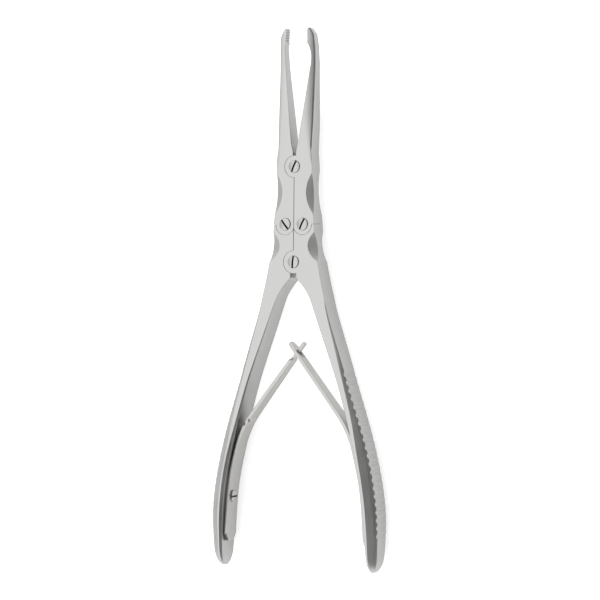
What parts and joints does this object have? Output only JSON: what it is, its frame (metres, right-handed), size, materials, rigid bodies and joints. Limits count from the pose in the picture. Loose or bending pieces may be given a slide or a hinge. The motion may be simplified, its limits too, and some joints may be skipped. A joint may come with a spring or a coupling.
{
  "type": "nasal septum forceps",
  "caption": "Double-action surgical forceps: toothed jaws worked by compound pivots, long curved grooved grips and crossed leaf springs.",
  "frame": {"origin": "centre of the bounding box with the jaws open; Z = 0 is the plane of the half laps", "axes": "+Y to the jaw tips, +X to the instrument's right seen from the screw heads, +Z out of the face with the screw heads"},
  "size_m": [0.0704, 0.2, 0.0122],
  "materials": {
    "forged_steel": "satin stainless steel, glass-bead matted",
    "screw_steel": "turned stainless steel, lightly polished",
    "spring_steel": "satin spring steel"
  },
  "bodies": {
    "left_handle": {"left_handle": "forged_steel", "handle_pivot_screw": "screw_steel", "left_link_screw": "screw_steel", "left_leaf_spring": "spring_steel", "left_spring_screw": "screw_steel"},
    "right_handle": {"right_handle": "forged_steel", "right_link_screw": "screw_steel", "right_leaf_spring": "spring_steel", "right_spring_screw": "screw_steel"},
    "left_jaw": {"left_jaw": "forged_steel", "jaw_pivot_screw": "screw_steel"},
    "right_jaw": {"right_jaw": "forged_steel"}
  },
  "joints": [
    {"name": "handle_close", "type": "hinge", "parent": "left_handle", "child": "right_handle", "pos_m": [0, 0.0134, 0], "axis": [0, 0, -1], "range_deg": [0, 14.1], "stiffness_Nm_per_rad": 3, "springref_deg": -9.74, "deforming": ["left_leaf_spring", "right_leaf_spring"]},
    {"name": "left_jaw_close", "type": "hinge", "parent": "left_handle", "child": "left_jaw", "pos_m": [-0.00367, 0.02735, 0], "axis": [0, 0, -1], "range_deg": [0, 11.7]},
    {"name": "right_jaw_close", "type": "hinge", "parent": "right_handle", "child": "right_jaw", "pos_m": [0.00367, 0.02735, 0], "axis": [0, 0, 1], "range_deg": [0, 11.7]}
  ],
  "couplings": [
    {"joint": "left_jaw_close", "follows": "handle_close", "ratio": 0.8237},
    {"joint": "right_jaw_close", "follows": "handle_close", "ratio": 0.8237}
  ]
}
